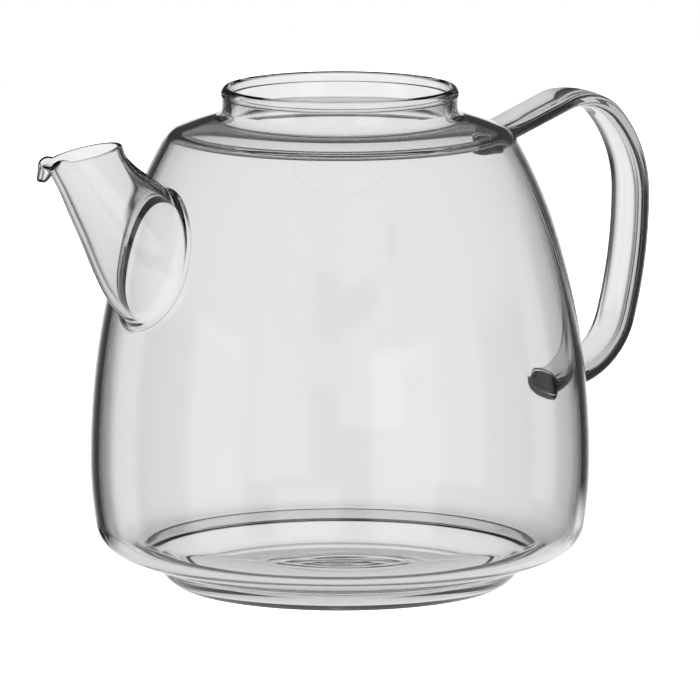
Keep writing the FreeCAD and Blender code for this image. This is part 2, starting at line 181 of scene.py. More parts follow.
def inner_wall():
    """The wall's inside. Its tighter corner leaves the glass thicker at the shoulder."""
    arcs = [(radius - WALL, sweep) for radius, sweep in RISING_ARCS]
    corner_radius, corner_sweep = arcs.pop()
    arcs.append((corner_radius - SHOULDER_THICKENING, corner_sweep))
    start = (BELLY[0] - WALL, BELLY[1])
    return chain(start, 90, arcs, (SHOULDER_RADIUS - WALL, 1, NECK_INSIDE))


def bead_line():
    """The rim's oval bead, over its top from the neck's outside to its inside."""
    half_width = (NECK_OUTSIDE - NECK_INSIDE + BEAD_OVERHANG) / 2
    centre = np.array([NECK_INSIDE + half_width, RIM_TOP - BEAD_HALF_HEIGHT])
    start = -math.degrees(math.acos((NECK_OUTSIDE - centre[0]) / half_width))
    around = direction(np.linspace(start, 180, BEAD_POINTS))
    return centre + around * (half_width, BEAD_HALF_HEIGHT)


def section_line():
    """The glass's whole section: under the foot, up the outside, over the rim, down inside."""
    outer_down = chain(BELLY, -90, FALLING_ARCS, (UNDERSIDE_RADIUS, -1, CREASE_ACROSS))
    crease = outer_down[-1]
    drop = np.array(FOOT) - crease
    half_turn = math.degrees(math.asin(np.linalg.norm(drop) / 2 / FLARE_RADIUS))
    flare_heading = math.degrees(math.atan2(drop[1], drop[0])) + half_turn
    flare = arc(crease, flare_heading, FLARE_RADIUS, -2 * half_turn)
    below = joined(
        outer_down, flare, straight(FOOT, FOOT_INSIDE), straight(FOOT_INSIDE, RECESS),
        straight(RECESS, RECESS_CENTRE),
    )
    outer_up = outer_wall()
    inner_up = inner_wall()
    bead = bead_line()
    inner_start = (BELLY[0] - WALL, BELLY[1])
    under_radius = FALLING_ARCS[0][0] - WALL
    inner_under = chain(inner_start, -90, [(under_radius, INNER_UNDER_SWEEP)])
    bend = inner_under[-1]
    ledge = np.array(LEDGE_EDGE)
    pull = INNER_CORNER_PULL * math.dist(bend, ledge)
    share = np.linspace(0, 1, INNER_CORNER_POINTS)[:, None]
    leave = bend + pull * direction(-90 + INNER_UNDER_SWEEP)
    arrive = ledge - pull * direction(LEDGE_HEADING)
    inner_corner = bezier(bend, leave, arrive, ledge, share)
    points = joined(
        below[::-1], outer_up, straight(outer_up[-1], bead[0]), bead,
        straight(bead[-1], inner_up[-1]), inner_up[::-1], inner_under, inner_corner,
        straight(LEDGE_EDGE, FLOOR_EDGE), straight(FLOOR_EDGE, FLOOR_CENTRE),
    )
    turns = (
        # each corner, and the radius that rounds it
        (RECESS, 0.7), (FOOT_INSIDE, 0.6), (FOOT, 1.2), (crease, 5.0), (outer_up[-1], 2.2),
        (bead[0], 0.6), (inner_up[-1], 3.6), (LEDGE_EDGE, 3.0), (FLOOR_EDGE, 3.0),
    )
    for corner, radius in turns:
        points = soften(points, corner, radius)
    return points


class Vessel:
    """The vessel's skin, turned round the pot's axis: a place on it is (bearing, run)."""

    WIDEST_STEP = 1.1
    LARGEST_TURN = 4.0
    EVENED_OVER = 7
    LEVEL = 0.9
    FLOOR_BELOW = 5.0
    UNDERSIDE_SHARE = 0.35
    SLOPE_STEP = 0.01

    def __init__(self):
        self.line = section_line()
        self.runs = run_lengths(self.line)
        self.travel = unit(np.gradient(self.line, self.runs, axis=0))
        self.rim_run = self.runs[np.argmax(self.line[:, 1])]

    def rows(self):
        """Runs for the mesh's rows: close together where the section turns."""
        heading = np.unwrap(np.arctan2(self.travel[:, 1], self.travel[:, 0]))
        bend = np.abs(np.gradient(heading, self.runs))
        around = np.pad(bend, self.EVENED_OVER // 2, mode="edge")
        bend = np.convolve(around, np.ones(self.EVENED_OVER) / self.EVENED_OVER, mode="valid")
        density = np.maximum(1 / self.WIDEST_STEP, bend / math.radians(self.LARGEST_TURN))
        steps = np.diff(self.runs) * (density[1:] + density[:-1]) / 2
        total = np.append(0, np.cumsum(steps))
        count = math.ceil(total[-1])
        return np.interp(np.linspace(0, total[-1], count + 1), total, self.runs)

    def at(self, bearing, run):
        """Points on the skin and the directions that they face."""
        across = np.interp(run, self.runs, self.line[:, 0])
        height = np.interp(run, self.runs, self.line[:, 1])
        out = np.interp(run, self.runs, self.travel[:, 1])
        up = -np.interp(run, self.runs, self.travel[:, 0])
        bearing, across, height, out, up = np.broadcast_arrays(bearing, across, height, out, up)
        round_axis = direction(bearing)
        points = np.concatenate([round_axis * across[..., None], height[..., None]], axis=-1)
        normals = np.concatenate([round_axis * out[..., None], up[..., None]], axis=-1)
        return self.rippled(points, unit(normals))

    def rippled(self, points, normals):
        """Points and normals with the floor's slight rings, which show less from below."""
        places, up = points[..., :2], normals[..., 2]
        floor = (np.abs(up) > self.LEVEL) & (points[..., 2] < self.FLOOR_BELOW)
        size = np.where(floor, np.where(up > 0, 1.0, self.UNDERSIDE_SHARE), 0.0)
        moved, tipped = points.copy(), normals.copy()
        moved[..., 2] += ripple(places) * size
        for axis, step in enumerate(np.eye(2) * self.SLOPE_STEP):
            slope = (ripple(places + step) - ripple(places)) / self.SLOPE_STEP
            tipped[..., axis] -= slope * size * up
        return moved, unit(tipped)

    def nearest(self, points, inside):
        """(run, height above the skin) for points near the outer or the inner wall."""
        across = np.hypot(points[..., 0], points[..., 1])
        flat = np.stack([across, points[..., 2]], axis=-1).reshape(-1, 2)
        wall = (self.runs > self.rim_run) if inside else (self.runs < self.rim_run)
        wall &= self.line[:, 1] > BELLY[1]
        wall &= self.line[:, 0] > NECK_OUTSIDE
        line, travel, runs = self.line[wall], self.travel[wall], self.runs[wall]
        gaps = ((flat[:, None] - line[None]) ** 2).sum(-1)
        best = gaps.argmin(1)
        off = flat - line[best]
        along = (off * travel[best]).sum(-1)
        above = off[:, 0] * travel[best, 1] - off[:, 1] * travel[best, 0]
        shape = points.shape[:-1]
        return (runs[best] + along).reshape(shape), above.reshape(shape)


RIPPLE_CENTRE = (0.8, -1.1)
RIPPLE_REACH = 27.0
RIPPLE_FADE_START = 0.35
RIPPLE_LENGTH = 8.0
RIPPLE_HEIGHT = 0.4
RIPPLE_WANDER = (
    # lobes round the centre, size, start in radians
    (1, 1.1, 0.6),
    (3, 0.5, 2.0),
)
RIPPLE_PEAK_ROUNDING = 0.1


def ripple(places):
    """Height of the rings at places (x, y): uneven, and dying away from their centre."""
    off = places - np.array(RIPPLE_CENTRE)
    distance = np.sqrt((off**2).sum(-1) + RIPPLE_PEAK_ROUNDING**2)
    bearing = np.arctan2(off[..., 1], off[..., 0])
    wander = sum(size * np.sin(lobes * bearing + start) for lobes, size, start in RIPPLE_WANDER)
    fade = 1 - smooth_step(RIPPLE_FADE_START * RIPPLE_REACH, RIPPLE_REACH, distance)
    wobble = wander * np.clip(distance / RIPPLE_REACH, 0, 1)
    rings = np.cos(2 * math.pi * (distance + wobble) / RIPPLE_LENGTH)
    return RIPPLE_HEIGHT * rings * fade


# ---------------------------------------------------------------- spout and handle forms

SPOUT_STATIONS = np.array([
    # out, up, dip, half length, half width
    (53.2, 86.9, 75.0, 18.6, 16.8),
    (56.9, 90.3, 72.5, 18.1, 16.2),
    (62.0, 95.6, 66.0, 16.5, 13.2),
    (69.0, 105.6, 52.3, 12.1, 10.2),
    (73.5, 113.3, 29.7, 10.1, 8.3),
    (76.4, 119.0, 11.5, 10.8, 7.3),
])
SPOUT_MOUTH = len(SPOUT_STATIONS) - 1.0
SPOUT_WALL = np.array([
    # the same columns, to take away from the stations for the spout's inside
    (0.0, 0.0, 0.0, 1.9, 1.7),
    (0.0, 0.0, 0.0, 1.9, 1.7),
    (0.0, 0.0, 0.0, 1.8, 1.6),
    (0.0, 0.0, 0.0, 1.5, 1.3),
    (0.0, 0.0, 0.0, 1.2, 1.2),
    (0.0, 0.0, 0.0, 1.2, 1.2),
])
MOUTH_WALL = 1.2
LIP_STATIONS = 0.3
LIP_HALF_ANGLE = 54.0
LIP_FLAT_HALF_ANGLE = 14.0
LIP_LENGTH = 6.6
LIP_RADIUS = 1.35
LIP_TURN = 150.0
LIP_START_HEADING = 64.5


def spline(stations, place):
    """A Catmull-Rom curve through the stations, one unit apart, at each place along it."""
    last = len(stations) - 1
    padded = np.vstack([2 * stations[0] - stations[1], stations, 2 * stations[-1] - stations[-2]])
    start = np.clip(np.floor(place).astype(int), 0, last - 1)
    t = (place - start)[..., None]
    a, b, c, d = (padded[start + k] for k in range(4))
    return 0.5 * (
        2 * b + (c - a) * t + (2 * a - 5 * b + 4 * c - d) * t**2 + (3 * b - a - 3 * c + d) * t**3
    )


def spout_form(place, angle, thinner, lip_radius):
    """Points on the spout: place runs from its root to its mouth, angle goes round it."""
    out, up, dip, half_length, half_width = np.moveaxis(
        spline(SPOUT_STATIONS - thinner, place), -1, 0
    )
    turned, tilt = np.radians(angle), np.radians(dip)
    along = half_length * np.cos(turned)
    lip_out, lip_up = lip_shift(place, angle, lip_radius)
    return np.stack([
        half_width * np.sin(turned),
        out + along * np.cos(tilt) + lip_out,
        up - along * np.sin(tilt) + lip_up,
    ], axis=-1)


def lip_shift(place, angle, radius):
    """How far out and up the lip folds the glass over, as a curl and then a short straight."""
    into = np.clip((place - SPOUT_MOUTH) / LIP_STATIONS + 1, 0, None) ** 2
    length = LIP_LENGTH * into * smooth_step(LIP_HALF_ANGLE, LIP_FLAT_HALF_ANGLE, np.abs(angle))
    turn = np.minimum(length / LIP_RADIUS, math.radians(LIP_TURN))
    past = length - LIP_RADIUS * turn
    ahead = radius * np.sin(turn) + past * np.cos(turn)
    over = radius * (1 - np.cos(turn)) + past * np.sin(turn)
    ahead_way = direction(LIP_START_HEADING)
    over_way = direction(LIP_START_HEADING - 90)
    return [ahead * ahead_way[axis] + over * over_way[axis] for axis in (0, 1)]


HANDLE_REACH = (89.8, 97.5)
HANDLE_UPWARD = ((33.6, 40.7), (13.9, 70.9))
HANDLE_BAR = 23.7
HANDLE_DOWNWARD = ((124.4, -15.5), (22.0, -56.0))
HANDLE_TAIL = 8.9
STRAP_HALF_WIDTH = 8.0
STRAP_HALF_THICKNESS = 2.2
STRAP_EDGE = 1.5
STRAP_CROWN = 0.3
STRAP_END_HALF_WIDTH = 6.9
STRAP_END_HALF_THICKNESS = 2.9
STRAP_END_LENGTH = 13.0
STRAP_END_ROUNDNESS = 0.8
STRAP_CORNER_SHARE = 0.3


def run_on(points, length):
    """The line with a straight run added in the direction that it ends in."""
    return joined(points, straight(points[-1], points[-1] + length * unit(points[-1] - points[-2])))


def handle_line():
    """The strap's middle, from the lower joint round to the upper one: (out, up)."""
    up = run_on(chain(HANDLE_REACH, 90, HANDLE_UPWARD), HANDLE_BAR)
    down = run_on(chain(HANDLE_REACH, -90, HANDLE_DOWNWARD), HANDLE_TAIL)
    return joined(down[::-1], up)


class Strap:
    """The handle's flat strap, which narrows and rounds off towards its ends."""

    def __init__(self):
        self.line = handle_line()
        self.runs = run_lengths(self.line)
        self.travel = unit(np.gradient(self.line, self.runs, axis=0))

    def at(self, run, side, face):
        """Points on the strap, where (side, face) is a place on the outline of a unit square."""
        out = np.interp(run, self.runs, self.line[:, 0])
        up = np.interp(run, self.runs, self.line[:, 1])
        travel_out = np.interp(run, self.runs, self.travel[:, 0])
        travel_up = np.interp(run, self.runs, self.travel[:, 1])
        from_end = np.minimum(run, self.runs[-1] - run)
        ending = 1 - smooth_step(0, STRAP_END_LENGTH, from_end)
        half_width = STRAP_HALF_WIDTH + (STRAP_END_HALF_WIDTH - STRAP_HALF_WIDTH) * ending
        thicker = STRAP_END_HALF_THICKNESS - STRAP_HALF_THICKNESS
        half_thickness = STRAP_HALF_THICKNESS + thicker * ending
        rounder = (STRAP_END_HALF_THICKNESS - STRAP_EDGE) * STRAP_END_ROUNDNESS
        edge = STRAP_EDGE + rounder * ending
        across, away = rounded(side, face, half_width, half_thickness, edge)
        return np.stack([
            across, -(out - away * travel_up), up + away * travel_out
        ], axis=-1)


def rounded(side, face, half_width, half_thickness, edge):
    """A unit square's outline as a rectangle with round corners and crowned faces."""
    flat = 1 - STRAP_CORNER_SHARE
    past_side = np.clip((np.abs(side) - flat) / STRAP_CORNER_SHARE, 0, 1)
    past_face = np.clip((np.abs(face) - flat) / STRAP_CORNER_SHARE, 0, 1)
    turn = math.pi / 4 * (1 + past_side - past_face)
    across = np.clip(np.abs(side) / flat, 0, 1) * (half_width - edge) + edge * np.sin(turn)
    away = np.clip(np.abs(face) / flat, 0, 1) * (half_thickness - edge) + edge * np.cos(turn)
    away *= 1 - STRAP_CROWN * (across / half_width) ** 2
    return np.sign(side) * across, np.sign(face) * away


# ---------------------------------------------------------------- grids and meshes

COLUMNS = 360
WELDS_PER_MM = 1e5
HALVINGS = 36
NEARBY = 0.01
DISC_ROWS = 5


class Piece:
    """Gathers one piece's quads, then makes one closed mesh of them.

    A melted face is one where the piece has run together with the next: it doesn't show.
    """

    def __init__(self, node):
        self.node = node
        self.corners, self.normals, self.shown = [], [], []

    def grid(self, points, normals, keep=None, melted=False):
        """Quads between the rows of a grid whose columns close on themselves."""
        def quads(values):
            right = np.roll(values, -1, axis=1)
            return np.stack([values[:-1], right[:-1], right[1:], values[1:]], axis=2)

        corners, facing = quads(points), quads(normals)
        if keep is None:
            keep = np.ones(corners.shape[:2], bool)
        self.corners.append(corners[keep])
        self.normals.append(facing[keep])
        self.shown.append(np.full(keep.sum(), 0.0 if melted else 1.0))

    def cap(self, first, last):
        """A melted strip from one ring of points to another."""
        points = np.stack([first, last])
        self.grid(points, facing(points), melted=True)

    def make(self, material):
        corners = np.concatenate(self.corners)
        normals = np.concatenate(self.normals)
        shown = np.concatenate(self.shown)
        keys = np.round(corners.reshape(-1, 3) * WELDS_PER_MM).astype(np.int64)
        _, first, which = np.unique(keys, axis=0, return_index=True, return_inverse=True)
        vertices = corners.reshape(-1, 3)[first] * MM
        which = which.reshape(-1, 4)
        distinct = which != np.roll(which, 1, axis=1)
        whole = distinct.sum(1) >= 3
        faces = [list(ids[kept]) for ids, kept in zip(which[whole], distinct[whole])]
        mesh = bpy.data.meshes.new(self.node)
        mesh.from_pydata(vertices.tolist(), [], faces)
        mesh.polygons.foreach_set("use_smooth", np.ones(len(faces), bool))
        mesh.normals_split_custom_set(normals[whole][distinct[whole]].tolist())
        mesh.attributes.new("shown", "FLOAT", "FACE").data.foreach_set("value", shown[whole])
        mesh.materials.append(material)
        thing = bpy.data.objects.new(f"{self.node}_glass", mesh)
        bpy.context.scene.collection.objects.link(thing)
        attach(thing, "root")
        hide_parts(self.node)
        thing.visible_shadow = False
        thing.visible_diffuse = False
        return thing


def facing(points):
    """The directions that a grid with closed columns faces."""
    over = np.roll(points, -1, axis=1) - np.roll(points, 1, axis=1)
    return unit(np.cross(over, np.gradient(points, axis=0)))


vessel_skin = Vessel()
vessel_rows = vessel_skin.rows()
strap = Strap()


def run_near(place, inside=False):
    """The run on the vessel's outer or inner wall that is nearest to place (across, up)."""
    return vessel_skin.nearest(np.array([[place[0], 0.0, place[1]]]), inside)[0][0]


class Window:
    """A hole in the vessel's grid of rows and columns, for a form that leaves it there.

    Its edge is a ring of places, which also lie on the outline of a unit square (across, along).
    """

    def __init__(self, bearing, columns, middle_run, row_count, downward=False):
        self.columns = slice(int(bearing) - columns // 2, int(bearing) + columns // 2)
        middle = int(np.argmin(np.abs(vessel_rows - middle_run)))
        self.rows = slice(middle - row_count // 2, middle + row_count // 2)
        low, high = self.rows.start, self.rows.stop
        if downward:
            low, high = high, low
        left, right = self.columns.start, self.columns.stop
        step = 1 if high > low else -1
        places = [(low, j) for j in range(left, right)]
        places += [(i, right) for i in range(low, high, step)]
        places += [(high, j) for j in range(right, left, -1)]
        places += [(i, left) for i in range(high, low, -step)]
        row_ids, column_ids = np.array(places).T
        self.bearings = column_ids.astype(float)
        self.runs = vessel_rows[row_ids]
        self.across = (column_ids - (left + right) / 2) / ((right - left) / 2)
        self.along = (row_ids - (low + high) / 2) / ((high - low) / 2)


def meet(form, low, high, height, inside=False):
    """Where on each column the form has come this far out of the vessel's skin.

    The inner skin is left outwards too, into the wall's glass.
    """
    for _ in range(HALVINGS):
        middle = (low + high) / 2
        above = vessel_skin.nearest(form(middle), inside)[1]
        beyond = -above > height if inside else above > height
        high = np.where(beyond, middle, high)
        low = np.where(beyond, low, middle)
    return (low + high) / 2


def ring_on_skin(points, inside, spread):
    """A ring of points moved onto the skin and outward along it by spread: (bearing, run)."""
    run, _ = vessel_skin.nearest(points, inside)
    bearing = np.unwrap(np.arctan2(points[:, 1], points[:, 0])) % (2 * math.pi)
    across = np.hypot(points[:, 0], points[:, 1]).mean()
    flat = np.stack([bearing * across, run], axis=-1)
    travel = unit(np.roll(flat, -1, axis=0) - np.roll(flat, 1, axis=0))
    outward = np.stack([travel[:, 1], -travel[:, 0]], axis=-1)
    outward *= np.sign((outward * (flat - flat.mean(0))).sum())
    moved = flat + outward * spread
    return np.degrees(moved[:, 0] / across), moved[:, 1]


def skin_rows(window, ring, count):
    """Rows on the vessel's skin from the window's edge in to a ring of (bearing, run)."""
    share = np.linspace(0, 1, count + 1)[:, None]
    bearings = window.bearings + (ring[0] - window.bearings) * share
    runs = window.runs + (ring[1] - window.runs) * share
    return vessel_skin.at(bearings, runs)


def disc_rows(ring):
    """Rows on the vessel's skin from a ring in to its middle."""
    share = np.linspace(0, 1, DISC_ROWS + 1)[:, None]
    bearings = ring[0] + (ring[0].mean() - ring[0]) * share
    runs = ring[1] + (ring[1].mean() - ring[1]) * share
    return vessel_skin.at(bearings, runs)[0]


FILLET_PULL = 0.62
FILLET_FOOT_PULL = 0.3


def fillet_rows(skin, skin_facing, corner, top, travel, count):
    """Rows that curve from a ring on the skin to a ring on the form, inside their corner."""
    lean = corner - skin
    lean -= skin_facing * (lean * skin_facing).sum(-1, keepdims=True)
    rise = np.linalg.norm(top - corner, axis=-1, keepdims=True)
    share = np.linspace(0, 1, count + 1)[:, None, None]
    leave = skin + FILLET_FOOT_PULL * lean
    arrive = top - FILLET_PULL * rise * travel
    return bezier(skin, leave, arrive, top, share)


def between(form, start, end, count, closing=False):
    """Rows of the form from one place on each column to another, closing up if asked to."""
    share = np.linspace(0, 1, count + 1)[:, None]
    if closing:
        share = 1 - (1 - share) ** 2
    return form(start + (end - start) * share)


def travel_of(form, place):
    """Which way the form runs, at a place on each column."""
    return unit(form(place + NEARBY) - form(place - NEARBY))


class Surface:
    """One long surface built of runs of rows, each starting on the last one's end row."""

    def __init__(self):
        self.points, self.known, self.marks = [], {}, {}
        self.count = 0

    def add(self, name, points, normals=None):
        """Add a run of rows. name marks its last row."""
        skip = 1 if self.count else 0
        if normals is not None:
            self.known[self.count - skip] = normals
        self.points.append(points[skip:])
        self.count += len(points) - skip
        self.marks[name] = self.count - 1

    def finish(self):
        self.points = np.concatenate(self.points)
        self.normals = facing(self.points)
        for start, normals in self.known.items():
            self.normals[start:start + len(normals)] = normals
        self.marks["start"] = 0

    def row(self, name, lift=0.0):
        return self.points[self.marks[name]] + lift

    def run(self, piece, first, last, lift_first=0.0, lift_last=0.0):
        """Give a piece the rows from one mark to another, with its end rows lifted clear."""
        rows = slice(self.marks[first], self.marks[last] + 1)
        points = self.points[rows].copy()
        points[0] += lift_first
        points[-1] += lift_last
        piece.grid(points, self.normals[rows])


def middle_of(ring):
    return np.broadcast_to(ring.mean(0), ring.shape)


# ---------------------------------------------------------------- glass

REFRACTION = 1.47


def node(tree, kind, **settings):
    made = tree.nodes.new(kind)
    for name, value in settings.items():
        setattr(made, name, value)
    return made


def clear_glass(name, absorption, wave_height, wave_length):
    """Clear glass that greys what is seen through much of it, with faint waves of its making."""
    material = bpy.data.materials.new(name)
    material.use_nodes = True
    tree = material.node_tree
    tree.nodes.clear()
    output = node(tree, "ShaderNodeOutputMaterial")
    shader = node(tree, "ShaderNodeBsdfPrincipled")
    shader.inputs["Base Color"].default_value = (1.0, 1.0, 1.0, 1.0)
    shader.inputs["Roughness"].default_value = 0.0
    shader.inputs["IOR"].default_value = REFRACTION
    shader.inputs["Transmission Weight"].default_value = 1.0
    shown = node(tree, "ShaderNodeAttribute", attribute_name="shown")
    tree.links.new(shown.outputs["Fac"], shader.inputs["Alpha"])
    place = node(tree, "ShaderNodeTexCoord")
    waves = node(tree, "ShaderNodeTexNoise")
    waves.inputs["Scale"].default_value = 1 / (wave_length * MM)
    waves.inputs["Detail"].default_value = 1.0
    bump = node(tree, "ShaderNodeBump")
    bump.inputs["Strength"].default_value = 1.0
    bump.inputs["Distance"].default_value = wave_height * MM
    tree.links.new(place.outputs["Object"], waves.inputs["Vector"])
    tree.links.new(waves.outputs["Fac"], bump.inputs["Height"])
    tree.links.new(bump.outputs["Normal"], shader.inputs["Normal"])
    inside = node(tree, "ShaderNodeVolumeAbsorption")
    inside.inputs["Color"].default_value = (0.0, 0.0, 0.0, 1.0)
    inside.inputs["Density"].default_value = absorption
    tree.links.new(shader.outputs["BSDF"], output.inputs["Surface"])
    tree.links.new(inside.outputs["Volume"], output.inputs["Volume"])
    return material


blown_glass = clear_glass("blown_glass", absorption=36.0, wave_height=0.012, wave_length=26.0)
drawn_glass = clear_glass("drawn_glass", absorption=80.0, wave_height=0.010, wave_length=12.0)
pressed_glass = clear_glass("pressed_glass", absorption=30.0, wave_height=0.008, wave_length=9.0)
melted_glass = clear_glass("melted_glass", absorption=30.0, wave_height=0.020, wave_length=3.5)

SEAM = 0.02

# ---------------------------------------------------------------- spout

SPOUT_HOLE_OUTSIDE = (58.0, 90.0)
SPOUT_HOLE_INSIDE = (56.0, 90.0)
SPOUT_WINDOW_SIZE = 54
SPOUT_ROOT = -0.6
JUST_SHORT = 0.02
SKIN_ROWS = 14
FLARE_ROWS = 14
SPOUT_ROWS = 64
RIM_ROWS = 12
TUNNEL_ROWS = 4
GATHER_HEIGHT = 2.6
SPOUT_SPREAD = 1.0
INLET_SPREAD = 3.0
INLET_DEPTH = 1.2

wall_run = run_near(SPOUT_HOLE_OUTSIDE)
inner_wall_run = run_near(SPOUT_HOLE_INSIDE, inside=True)
spout_window = Window(SPOUT_BEARING, SPOUT_WINDOW_SIZE, wall_run, SPOUT_WINDOW_SIZE)
inlet_window = Window(
    SPOUT_BEARING, SPOUT_WINDOW_SIZE, inner_wall_run, SPOUT_WINDOW_SIZE, downward=True
)
spout_angles = np.degrees(np.arctan2(-spout_window.across, -spout_window.along))


def outside(place):
    return spout_form(place, spout_angles, 0 * SPOUT_WALL, LIP_RADIUS - MOUTH_WALL / 2)


def inside(place):
    return spout_form(place, spout_angles, SPOUT_WALL, LIP_RADIUS + MOUTH_WALL / 2)


def spout_rim():
    """Rows over the mouth's rim, from its outside to its inside, as a round edge."""
    outer, inner = outside(mouth), inside(mouth)
    middle, half = (outer + inner) / 2, (outer - inner) / 2
    short = mouth - JUST_SHORT
    up = unit(travel_of(outside, short) + travel_of(inside, short))
    size = np.linalg.norm(half, axis=-1, keepdims=True)
    turn = np.linspace(0, math.pi, RIM_ROWS + 1)[:, None, None]
    return middle + np.cos(turn) * half + np.sin(turn) * size * up


root = np.full(len(spout_angles), SPOUT_ROOT)
mouth = np.full(len(spout_angles), SPOUT_MOUTH)
corner = outside(meet(outside, root, mouth, 0.0))
ring = ring_on_skin(corner, False, SPOUT_SPREAD)
tube_start = meet(outside, root, mouth, GATHER_HEIGHT)
seam_in = meet(inside, root, mouth, GATHER_HEIGHT)
skin_in = meet(inside, root, mouth, 0.0)
inlet_start = meet(inside, root, mouth, INLET_DEPTH, inside=True)
inlet_corner = inside(meet(inside, root, mouth, 0.0, inside=True))
inlet_ring = ring_on_skin(inlet_corner, True, INLET_SPREAD)

spout_surface = Surface()
points, normals = skin_rows(spout_window, ring, SKIN_ROWS)
spout_surface.add("gather_foot", points, normals)
flare = fillet_rows(
    points[-1], normals[-1], corner, outside(tube_start), travel_of(outside, tube_start),
    FLARE_ROWS,
)
spout_surface.add("gather_top", flare)
spout_surface.add("mouth_outside", between(outside, tube_start, mouth, SPOUT_ROWS, closing=True))
spout_surface.add("mouth_inside", spout_rim())
spout_surface.add(
    "gather_top_inside", between(inside, seam_in, mouth, SPOUT_ROWS, closing=True)[::-1]
)
spout_surface.add("gather_foot_inside", between(inside, seam_in, skin_in, TUNNEL_ROWS))
spout_surface.add("inlet_start", between(inside, skin_in, inlet_start, TUNNEL_ROWS))
points, normals = skin_rows(inlet_window, inlet_ring, SKIN_ROWS)
inlet_flare = fillet_rows(
    points[-1], normals[-1], inlet_corner, inside(inlet_start), travel_of(inside, inlet_start),
    FLARE_ROWS,
)
spout_surface.add("inlet", inlet_flare[::-1])
spout_surface.add("end", points[::-1], normals[::-1])
spout_surface.finish()

# ---------------------------------------------------------------- handle

LOWER_JOINT = (65.3, 47.3)
UPPER_JOINT = (47.2, 115.8)
JOINT_COLUMNS = 36
JOINT_WINDOW_ROWS = 28
STRAP_ROWS = 120
JOINT_HEIGHT = 1.6
JOINT_SPREAD = 1.5
JOINT_WITHIN = 25.0

lower_run = run_near(LOWER_JOINT)
upper_run = run_near(UPPER_JOINT)
lower_window = Window(HANDLE_BEARING, JOINT_COLUMNS, lower_run, JOINT_WINDOW_ROWS)
upper_window = Window(HANDLE_BEARING, JOINT_COLUMNS, upper_run, JOINT_WINDOW_ROWS, downward=True)
strap_length = strap.runs[-1]


def from_below(place):
    return strap.at(place, lower_window.across, lower_window.along)


def from_above(place):
    return from_below(strap_length - place)


def joint(window, form):
    """A strap end's ring on the skin, its corner there, and where its fillet ends."""
    low = np.zeros(len(window.runs))
    high = np.full(len(window.runs), JOINT_WITHIN)
    corner = form(meet(form, low, high, 0.0))
    top = meet(form, low, high, JOINT_HEIGHT)
    return ring_on_skin(corner, False, JOINT_SPREAD), corner, top


handle_surface = Surface()
lower_ring, lower_corner, lower_top = joint(lower_window, from_below)
upper_ring, upper_corner, upper_top = joint(upper_window, from_above)
points, normals = skin_rows(lower_window, lower_ring, SKIN_ROWS)
handle_surface.add("lower_foot", points, normals)
handle_surface.add("lower_top", fillet_rows(
    points[-1], normals[-1], lower_corner, from_below(lower_top),
    travel_of(from_below, lower_top), FLARE_ROWS,
))
handle_surface.add(
    "upper_top", between(from_below, lower_top, strap_length - upper_top, STRAP_ROWS)
)
points, normals = skin_rows(upper_window, upper_ring, SKIN_ROWS)
handle_surface.add("upper_foot", fillet_rows(
    points[-1], normals[-1], upper_corner, from_above(upper_top),
    travel_of(from_above, upper_top), FLARE_ROWS,
)[::-1])
handle_surface.add("end", points[::-1], normals[::-1])
handle_surface.finish()

# ---------------------------------------------------------------- pieces

vessel = Piece("vessel")
columns = np.arange(COLUMNS, dtype=float)
points, normals = vessel_skin.at(columns[None, :], vessel_rows[:, None])
keep = np.ones((len(vessel_rows) - 1, COLUMNS), bool)
for window in (spout_window, inlet_window, lower_window, upper_window):
    keep[window.rows, window.columns] = False
vessel.grid(points, normals, keep)
spout_surface.run(vessel, "start", "gather_foot")
vessel.cap(spout_surface.row("gather_foot"), spout_surface.row("gather_foot_inside"))
spout_surface.run(vessel, "gather_foot_inside", "end")
handle_surface.run(vessel, "start", "lower_foot")
handle_surface.run(vessel, "upper_foot", "end")
for rows in (disc_rows(lower_ring), disc_rows(upper_ring)[::-1]):
    vessel.grid(rows, rows, melted=True)
vessel.make(blown_glass)


def seam_lift(bearing, run):
    """The hair's breadth that keeps two melted faces from lying in the same place."""
    return SEAM * vessel_skin.at(bearing, run)[1]


spout_lift = seam_lift(SPOUT_BEARING, wall_run)
gather = Piece("spout_gather")
spout_surface.run(gather, "gather_foot", "gather_top", lift_first=spout_lift)
gather.cap(spout_surface.row("gather_top"), spout_surface.row("gather_top_inside"))
spout_surface.run(gather, "gather_top_inside", "gather_foot_inside", lift_last=spout_lift)
gather.cap(
    spout_surface.row("gather_foot_inside", spout_lift),
    spout_surface.row("gather_foot", spout_lift),
)
gather.make(melted_glass)

spout = Piece("spout")
spout_surface.run(spout, "gather_top", "gather_top_inside", spout_lift, spout_lift)
spout.cap(
    spout_surface.row("gather_top_inside", spout_lift),
    spout_surface.row("gather_top", spout_lift),
)
spout.make(drawn_glass)

lower_lift = seam_lift(HANDLE_BEARING, lower_run)
lower_gather = Piece("lower_handle_gather")
rows = disc_rows(lower_ring)[::-1] + lower_lift
lower_gather.grid(rows, rows, melted=True)
handle_surface.run(lower_gather, "lower_foot", "lower_top", lift_first=lower_lift)
top = handle_surface.row("lower_top")
lower_gather.cap(top, middle_of(top))
lower_gather.make(melted_glass)

upper_lift = seam_lift(HANDLE_BEARING, upper_run)
upper_gather = Piece("upper_handle_gather")
top = handle_surface.row("upper_top")
upper_gather.cap(middle_of(top), top)
handle_surface.run(upper_gather, "upper_top", "upper_foot", lift_last=upper_lift)
rows = disc_rows(upper_ring) + upper_lift
upper_gather.grid(rows, rows, melted=True)
upper_gather.make(melted_glass)

handle = Piece("handle")
low_end = handle_surface.row("lower_top", lower_lift)
high_end = handle_surface.row("upper_top", upper_lift)
handle.cap(middle_of(low_end), low_end)
handle_surface.run(handle, "lower_top", "upper_top", lower_lift, upper_lift)
handle.cap(high_end, middle_of(high_end))
handle.make(pressed_glass)

